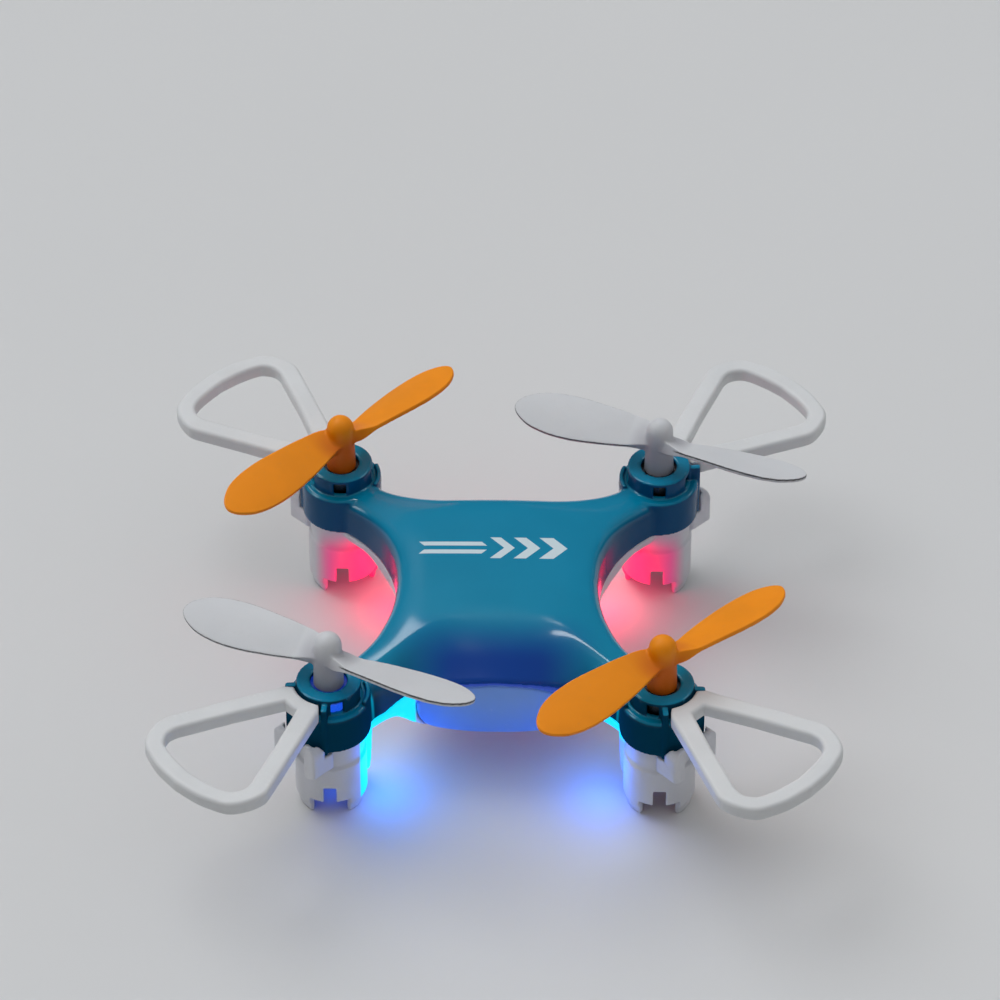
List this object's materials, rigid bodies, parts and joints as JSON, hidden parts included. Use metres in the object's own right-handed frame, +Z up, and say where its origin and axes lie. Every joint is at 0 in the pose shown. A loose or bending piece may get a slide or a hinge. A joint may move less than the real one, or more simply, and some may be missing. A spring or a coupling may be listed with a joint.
{
  "type": "mini palm drone",
  "caption": "Small X-shaped toy quadcopter with a two-part shell, loop guards on its motor pods and two-blade propellers that spin.",
  "frame": {"origin": "on the ground plane under the feet, midway between the four motor axes", "axes": "+Z up, -Y towards the nose, +X to the right as seen by someone facing the nose"},
  "size_m": [0.0786, 0.0786, 0.0249],
  "materials": {
    "shell_blue": "gloss",
    "shell_white": "satin",
    "nose_diffuser": "frosted",
    "guard_white": "satin",
    "propeller_orange": "satin",
    "propeller_white": "satin",
    "motor_steel": "satin",
    "end_cap_black": "matte",
    "coil_copper": "varnished",
    "shaft_steel": "polished",
    "led_red": "clear",
    "led_blue": "clear",
    "board_green": "solder mask",
    "chip_black": "matte",
    "crystal_steel": "satin",
    "battery_foil": "satin",
    "foam_black": "matte",
    "connector_cream": "satin",
    "connector_white": "satin",
    "wire_red": "satin",
    "wire_blue": "satin",
    "wire_black": "satin",
    "wire_white": "satin",
    "switch_steel": "satin",
    "switch_black": "matte",
    "socket_steel": "satin",
    "screw_steel": "satin"
  },
  "bodies": {
    "airframe": {"upper_shell": "shell_blue", "lower_shell": "shell_white", "nose_cover": "nose_diffuser", "guard_rear_left": "guard_white", "motor_can_rear_left": "motor_steel", "motor_end_cap_rear_left": "end_cap_black", "led_rear_left": "led_red", "motor_wire_rear_left_a": "wire_red", "motor_wire_rear_left_b": "wire_blue", "guard_rear_right": "guard_white", "motor_can_rear_right": "motor_steel", "motor_end_cap_rear_right": "end_cap_black", "led_rear_right": "led_red", "motor_wire_rear_right_a": "wire_red", "motor_wire_rear_right_b": "wire_blue", "guard_front_left": "guard_white", "motor_can_front_left": "motor_steel", "motor_end_cap_front_left": "end_cap_black", "led_front_left": "led_blue", "motor_wire_front_left_a": "wire_red", "motor_wire_front_left_b": "wire_blue", "guard_front_right": "guard_white", "motor_can_front_right": "motor_steel", "motor_end_cap_front_right": "end_cap_black", "led_front_right": "led_blue", "motor_wire_front_right_a": "wire_red", "motor_wire_front_right_b": "wire_blue", "flight_controller_board": "board_green", "microcontroller_chip": "chip_black", "radio_chip": "chip_black", "gyro_chip": "chip_black", "crystal": "crystal_steel", "battery_cell": "battery_foil", "battery_pad": "foam_black", "battery_socket": "connector_cream", "battery_plug": "connector_white", "battery_wire_red": "wire_red", "battery_wire_black": "wire_black", "antenna_wire": "wire_white", "power_switch_body": "switch_steel", "charging_socket": "socket_steel", "case_screw_rear_left": "screw_steel", "case_screw_rear_right": "screw_steel", "case_screw_front_left": "screw_steel", "case_screw_front_right": "screw_steel"},
    "power_switch_knob": {"power_switch_slider": "switch_black"},
    "rotor_rear_left": {"propeller_rear_left": "propeller_orange", "motor_shaft_rear_left": "shaft_steel", "motor_coil_rear_left": "coil_copper"},
    "rotor_rear_right": {"propeller_rear_right": "propeller_white", "motor_shaft_rear_right": "shaft_steel", "motor_coil_rear_right": "coil_copper"},
    "rotor_front_left": {"propeller_front_left": "propeller_white", "motor_shaft_front_left": "shaft_steel", "motor_coil_front_left": "coil_copper"},
    "rotor_front_right": {"propeller_front_right": "propeller_orange", "motor_shaft_front_right": "shaft_steel", "motor_coil_front_right": "coil_copper"}
  },
  "joints": [
    {"name": "spin_rear_left", "type": "hinge", "parent": "airframe", "child": "rotor_rear_left", "pos_m": [-0.019, 0.019, 0.0216], "axis": [0, 0, 1], "continuous": true},
    {"name": "spin_rear_right", "type": "hinge", "parent": "airframe", "child": "rotor_rear_right", "pos_m": [0.019, 0.019, 0.0216], "axis": [0, 0, 1], "continuous": true},
    {"name": "spin_front_left", "type": "hinge", "parent": "airframe", "child": "rotor_front_left", "pos_m": [-0.019, -0.019, 0.0216], "axis": [0, 0, 1], "continuous": true},
    {"name": "spin_front_right", "type": "hinge", "parent": "airframe", "child": "rotor_front_right", "pos_m": [0.019, -0.019, 0.0216], "axis": [0, 0, 1], "continuous": true},
    {"name": "power_switch_slide", "type": "slide", "parent": "airframe", "child": "power_switch_knob", "axis": [1, 0, 0], "range_m": [0, 0.0015]}
  ]
}
